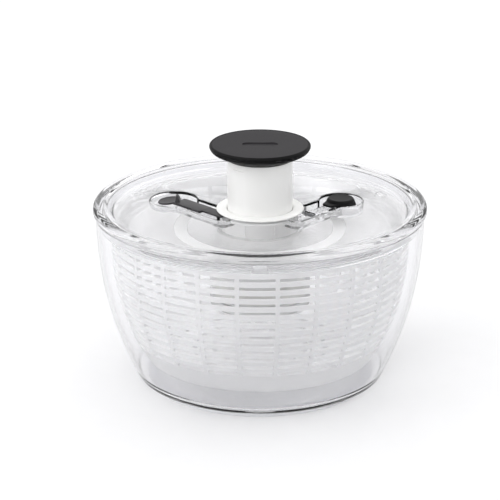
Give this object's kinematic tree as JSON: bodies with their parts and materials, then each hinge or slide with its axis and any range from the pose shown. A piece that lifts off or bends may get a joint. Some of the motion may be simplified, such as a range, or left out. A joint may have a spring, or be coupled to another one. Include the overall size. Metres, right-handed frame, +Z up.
{
  "type": "salad spinner",
  "caption": "Pump-action salad spinner: clear bowl, slotted inner basket and clear lid with a press knob, a sliding lock and a brake button.",
  "frame": {"origin": "on the vertical axis, on the surface that the bowl's foot ring stands on", "axes": "+Z up along the axis through the knob; -Y is the front, with the lock slide at the left (-X) and the brake button at the right (+X)"},
  "size_m": [0.27, 0.27, 0.1982],
  "materials": {
    "clear_plastic": "clear moulded plastic, polished",
    "basket_plastic": "milky translucent moulded plastic, fine texture",
    "frosted_plastic": "frosted translucent moulded plastic",
    "white_plastic": "white moulded plastic, satin",
    "bearing_plastic": "off-white acetal, as moulded",
    "black_plastic": "black moulded plastic, satin",
    "soft_black": "soft-touch black elastomer, matt",
    "grey_plastic": "dark grey moulded plastic, satin",
    "foot_rubber": "pale grey translucent elastomer",
    "spring_steel": "drawn stainless wire and turned pins"
  },
  "bodies": {
    "bowl": {"bowl": "clear_plastic", "foot_ring": "foot_rubber"},
    "basket": {"basket": "basket_plastic"},
    "lid": {"lid": "clear_plastic", "collar": "white_plastic", "housing": "frosted_plastic", "nut_cover": "white_plastic", "thrust_washer": "bearing_plastic", "return_spring": "spring_steel", "brake_pivot_pin": "spring_steel", "brake_spring": "spring_steel"},
    "plunger": {"plunger_sleeve": "white_plastic", "stop_ring": "bearing_plastic", "twist_rod": "bearing_plastic", "rod_screw": "spring_steel", "knob_body": "black_plastic", "knob_pad": "soft_black"},
    "driver": {"drive_nut": "bearing_plastic", "ratchet_wheel": "bearing_plastic", "retaining_clip": "spring_steel"},
    "turner": {"turner_disc": "clear_plastic", "brake_track": "frosted_plastic", "pawl_plate": "bearing_plastic", "pawl_1": "bearing_plastic", "pawl_2": "bearing_plastic", "pawl_3": "bearing_plastic", "hub_cap": "frosted_plastic"},
    "lock": {"lock_slide": "grey_plastic"},
    "brake": {"brake_lever": "clear_plastic", "brake_button": "soft_black", "brake_stem": "frosted_plastic", "brake_pad": "frosted_plastic"}
  },
  "joints": [
    {"name": "basket_spin", "type": "hinge", "parent": "bowl", "child": "basket", "pos_m": [0, 0, 0.03], "axis": [0, 0, 1], "continuous": true},
    {"name": "lid_lift", "type": "slide", "parent": "bowl", "child": "lid", "axis": [0, 0, 1], "range_m": [0, 0.12]},
    {"name": "knob_press", "type": "slide", "parent": "lid", "child": "plunger", "axis": [0, 0, -1], "range_m": [0, 0.04], "stiffness_N_per_m": 250, "springref_m": -0.02, "deforming": ["return_spring"]},
    {"name": "driver_spin", "type": "hinge", "parent": "lid", "child": "driver", "pos_m": [0, 0, 0.1], "axis": [0, 0, 1], "range_deg": [-1, 481]},
    {"name": "turner_spin", "type": "hinge", "parent": "lid", "child": "turner", "pos_m": [0, 0, 0.1], "axis": [0, 0, 1], "continuous": true},
    {"name": "lock_slide", "type": "slide", "parent": "lid", "child": "lock", "axis": [0.6947, -0.7193, 0], "range_m": [0, 0.008]},
    {"name": "brake_press", "type": "hinge", "parent": "lid", "child": "brake", "pos_m": [0.04113, -0.00218, 0.1387], "axis": [-0.7193, 0.6947, 0], "range_deg": [0, 4.4], "stiffness_Nm_per_rad": 0.4, "springref_deg": -5.73, "deforming": ["brake_spring"]}
  ],
  "couplings": [
    {"joint": "driver_spin", "follows": "knob_press", "rad_per_m": 209.44},
    {"joint": "turner_spin", "follows": "basket_spin", "ratio": 1}
  ]
}
